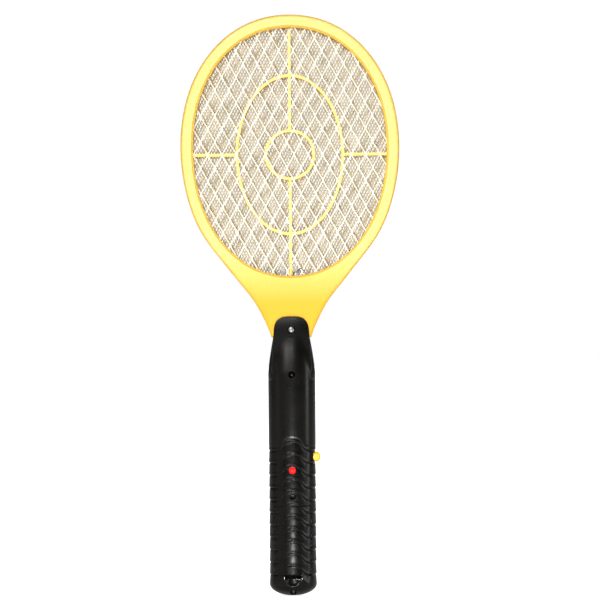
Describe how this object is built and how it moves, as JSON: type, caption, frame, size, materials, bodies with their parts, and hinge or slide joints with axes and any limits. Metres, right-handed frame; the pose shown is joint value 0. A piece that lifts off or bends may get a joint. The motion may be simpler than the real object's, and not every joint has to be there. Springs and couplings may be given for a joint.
{
  "type": "electric fly swatter",
  "caption": "Hand-held electric fly swatter: oval yellow head with layered expanded meshes on a ridged black battery handle with a side push button.",
  "frame": {"origin": "middle of the ridged grip, on the handle's long axis", "axes": "+Z along the swatter from the handle's end to the top of the head; -Y is the front, with the lamp and the battery door; +X is the side with the push button"},
  "size_m": [0.1694, 0.0325, 0.4499],
  "materials": {
    "yellow_plastic": "satin moulded ABS",
    "black_plastic": "satin black ABS",
    "mesh_aluminium": "expanded sheet, dull silver",
    "fine_mesh_aluminium": "expanded sheet, dull silver",
    "tinned_strip": "tinned",
    "screw_steel": "zinc plated",
    "button_yellow": "smooth",
    "red_lens": "clear red epoxy, lit",
    "switch_black": "moulded",
    "board_laminate": "brown phenolic laminate",
    "ferrite": "sintered",
    "copper_wire": "enamelled",
    "bobbin_plastic": "moulded",
    "component_black": "moulded epoxy",
    "component_blue": "dipped coating",
    "film_brown": "dipped coating",
    "resistor_beige": "dipped coating",
    "cell_can": "printed sleeve, plain",
    "contact_nickel": "nickel plated",
    "red_wire": "PVC insulation",
    "black_wire": "PVC insulation",
    "white_wire": "PVC insulation"
  },
  "bodies": {
    "swatter": {"front_frame": "yellow_plastic", "rear_frame": "yellow_plastic", "front_mesh": "mesh_aluminium", "rear_mesh": "mesh_aluminium", "middle_mesh": "fine_mesh_aluminium", "front_spacer_grid": "yellow_plastic", "rear_spacer_grid": "yellow_plastic", "front_mesh_terminal": "tinned_strip", "rear_mesh_terminal": "tinned_strip", "middle_mesh_terminal": "tinned_strip", "front_handle_shell": "black_plastic", "rear_handle_shell": "black_plastic", "handle_screws": "screw_steel", "board_screws": "screw_steel", "push_switch": "switch_black", "button_spring": "contact_nickel", "indicator_led": "red_lens", "led_legs": "tinned_strip", "circuit_board": "board_laminate", "transformer_core": "ferrite", "transformer_winding": "copper_wire", "transformer_bobbin": "bobbin_plastic", "drive_transistor": "component_black", "storage_capacitor": "film_brown", "doubler_capacitors": "component_blue", "doubler_diodes": "component_black", "resistors": "resistor_beige", "battery_left": "cell_can", "battery_right": "cell_can", "lower_battery_spring": "contact_nickel", "upper_battery_spring": "contact_nickel", "bridge_contact": "contact_nickel", "positive_contact": "contact_nickel", "negative_contact": "contact_nickel", "red_battery_lead": "red_wire", "black_battery_lead": "black_wire", "front_mesh_lead": "white_wire", "rear_mesh_lead": "white_wire", "middle_mesh_lead": "red_wire"},
    "power_button": {"power_button": "button_yellow", "switch_plunger": "switch_black"},
    "battery_door": {"battery_door": "black_plastic"}
  },
  "joints": [
    {"name": "button_press", "type": "slide", "parent": "swatter", "child": "power_button", "axis": [-1, 0, 0], "range_m": [0, 0.002], "stiffness_N_per_m": 900, "springref_m": -0.001, "deforming": ["button_spring"]},
    {"name": "door_hinge", "type": "hinge", "parent": "swatter", "child": "battery_door", "pos_m": [0, -0.0155, 0], "axis": [-1, 0, 0], "range_deg": [0, 50]}
  ]
}
